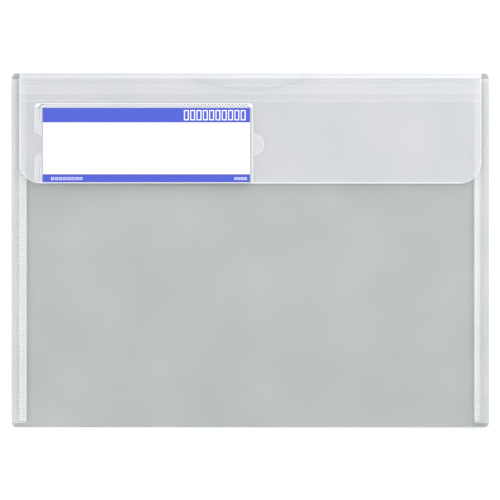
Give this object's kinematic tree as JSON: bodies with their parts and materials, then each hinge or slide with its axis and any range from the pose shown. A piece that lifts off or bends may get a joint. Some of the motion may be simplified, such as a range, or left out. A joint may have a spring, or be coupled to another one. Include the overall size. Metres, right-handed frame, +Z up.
{
  "type": "portfolio case",
  "caption": "Clear flat document case with V-gusset sides, a scored fold-over flap and a welded film pocket that holds a loose name card.",
  "frame": {"origin": "middle of the back panel's underside, on the surface the case lies on", "axes": "+X across the case to the right, +Y from the bottom fold to the flap fold, +Z up through the thickness, out of the flap side"},
  "size_m": [0.33, 0.245, 0.0064],
  "materials": {
    "clear_sheet": "translucent frosted polypropylene sheet",
    "pocket_film": "clear cast polypropylene film",
    "welds": "ultrasonically welded, whitened",
    "printed_card": "smooth white card with printed blue bands"
  },
  "bodies": {
    "case_back": {"back_panel": "clear_sheet", "bottom_fold": "clear_sheet", "left_back_leaf": "clear_sheet", "right_back_leaf": "clear_sheet", "left_seam": "welds", "right_seam": "welds"},
    "case_front": {"front_panel": "clear_sheet", "left_front_leaf": "clear_sheet", "right_front_leaf": "clear_sheet"},
    "spine": {"flap_spine": "clear_sheet"},
    "strip_1": {"flap_strip_1": "clear_sheet"},
    "strip_2": {"flap_strip_2": "clear_sheet"},
    "strip_3": {"flap_strip_3": "clear_sheet"},
    "flap": {"flap_panel": "clear_sheet", "pocket_film": "pocket_film", "pocket_top_weld": "welds", "pocket_side_weld": "welds", "pocket_corner_weld": "welds", "pocket_edge_seal": "welds"},
    "card": {"name_card": "printed_card"},
    "tongue": {"pocket_tongue": "pocket_film"}
  },
  "joints": [
    {"name": "flap_open", "type": "hinge", "parent": "case_back", "child": "spine", "pos_m": [0, 0.1225, 0.00015], "axis": [-1, 0, 0], "range_deg": [0, 110], "stiffness_Nm_per_rad": 0.002},
    {"name": "crease_1", "type": "hinge", "parent": "spine", "child": "strip_1", "pos_m": [0, 0.1186, 0.00555], "axis": [-1, 0, 0], "range_deg": [0, 40]},
    {"name": "crease_2", "type": "hinge", "parent": "strip_1", "child": "strip_2", "pos_m": [0, 0.1134, 0.00555], "axis": [-1, 0, 0], "range_deg": [0, 10]},
    {"name": "crease_3", "type": "hinge", "parent": "strip_2", "child": "strip_3", "pos_m": [0, 0.1082, 0.00555], "axis": [-1, 0, 0], "range_deg": [0, 10]},
    {"name": "crease_4", "type": "hinge", "parent": "strip_3", "child": "flap", "pos_m": [0, 0.103, 0.00555], "axis": [-1, 0, 0], "range_deg": [0, 10]},
    {"name": "mouth_open", "type": "hinge", "parent": "case_back", "child": "case_front", "pos_m": [0, -0.11995, 0.00255], "axis": [1, 0, 0], "range_deg": [0, 1.5], "deforming": ["left_back_leaf", "right_back_leaf", "left_front_leaf", "right_front_leaf", "left_seam", "right_seam"]},
    {"name": "card_slide", "type": "slide", "parent": "flap", "child": "card", "axis": [1, 0, 0], "range_m": [0, 0.15]},
    {"name": "tongue_lift", "type": "hinge", "parent": "flap", "child": "tongue", "pos_m": [0.002, 0.0727, 0.0063], "axis": [0, -1, 0], "range_deg": [0, 45], "stiffness_Nm_per_rad": 0.0005}
  ],
  "couplings": [
    {"joint": "crease_1", "follows": "flap_open", "ratio": 0.36363},
    {"joint": "crease_2", "follows": "flap_open", "ratio": 0.0909},
    {"joint": "crease_3", "follows": "flap_open", "ratio": 0.0909},
    {"joint": "crease_4", "follows": "flap_open", "ratio": 0.0909},
    {"joint": "mouth_open", "follows": "flap_open", "ratio": 0.01363}
  ]
}
